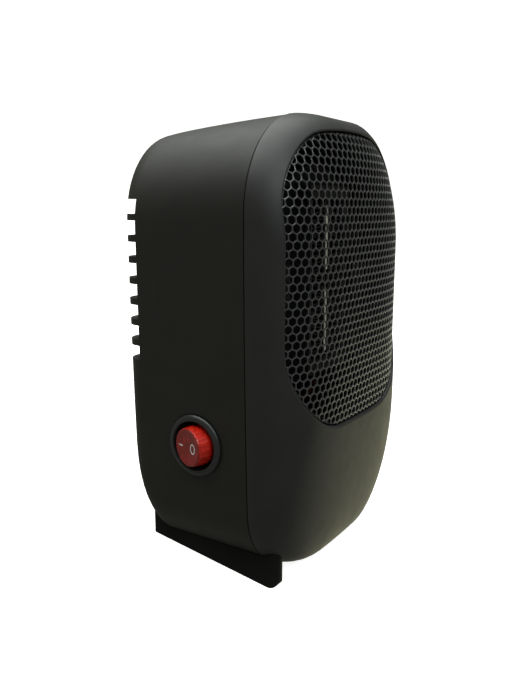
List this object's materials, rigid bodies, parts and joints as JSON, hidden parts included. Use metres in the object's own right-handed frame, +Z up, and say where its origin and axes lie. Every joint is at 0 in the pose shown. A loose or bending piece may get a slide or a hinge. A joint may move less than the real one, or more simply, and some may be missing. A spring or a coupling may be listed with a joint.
{
  "type": "ceramic space heater",
  "caption": "Small upright ceramic fan heater that leans back on rubber runners, with a bulged mesh front, slotted back corners and a round rocker switch on its side.",
  "frame": {"origin": "middle of the outer box's footprint, on the surface that the feet stand on", "axes": "+Z up, front grille towards -Y, rocker switch on the -X side"},
  "size_m": [0.1092, 0.092, 0.1677],
  "materials": {
    "rear_housing": "matte black with a fine moulded grain",
    "front_housing": "satin black",
    "mesh": "satin black painted steel mesh",
    "heat_plastic": "heat-proof black plastic, matte",
    "rubber": "matte black rubber",
    "steel": "zinc-plated steel",
    "switch_black": "semi-gloss black",
    "red_lens": "clear red, polished",
    "brass": "stamped brass",
    "ceramic": "sintered, matte",
    "cap_ceramic": "heat-proof end cap, matte",
    "aluminium": "mill finish",
    "impeller_plastic": "moulded black",
    "board": "green lacquered board",
    "capacitor": "dipped, glossy",
    "terminal": "moulded grey",
    "wire_black": "insulation, satin",
    "wire_red": "insulation, satin"
  },
  "bodies": {
    "root": {"rear_shell": "rear_housing", "front_shell": "front_housing", "front_grille": "mesh", "grille_retainer": "heat_plastic", "foot_left": "rubber", "foot_right": "rubber", "case_screw_left": "steel", "case_screw_right": "steel", "foot_screw_left_front": "steel", "foot_screw_left_back": "steel", "foot_screw_right_front": "steel", "foot_screw_right_back": "steel", "switch_body": "switch_black", "switch_tab_feed": "brass", "switch_tab_lamp": "brass", "switch_tab_load": "brass", "ptc_stone_upper": "ceramic", "ptc_stone_lower": "ceramic", "contact_plate_left": "aluminium", "contact_plate_right": "aluminium", "fin_strip_left": "aluminium", "fin_strip_right": "aluminium", "side_rail_left": "aluminium", "side_rail_right": "aluminium", "element_cap_top": "cap_ceramic", "element_cap_bottom": "cap_ceramic", "element_frame": "heat_plastic", "thermostat": "heat_plastic", "thermal_fuse": "steel", "fan_duct": "heat_plastic", "fan_motor": "steel", "cord_gland": "rubber", "circuit_board": "board", "rectifier": "switch_black", "film_capacitor": "capacitor", "terminal_block": "terminal", "lead_supply": "wire_black", "lead_switch_feed": "wire_black", "lead_switch_load": "wire_red", "lead_return": "wire_red"},
    "rocker": {"rocker": "red_lens"},
    "rotor": {"motor_shaft": "steel", "impeller": "impeller_plastic"}
  },
  "joints": [
    {"name": "rocker_tilt", "type": "hinge", "parent": "root", "child": "rocker", "pos_m": [-0.04819, -0.00285, 0.0485], "axis": [0, 0.1478, 0.989], "range_deg": [0, 32]},
    {"name": "fan_spin", "type": "hinge", "parent": "root", "child": "rotor", "pos_m": [0.00261, 0.00315, 0.10625], "axis": [0, 0.989, -0.1478], "continuous": true}
  ]
}
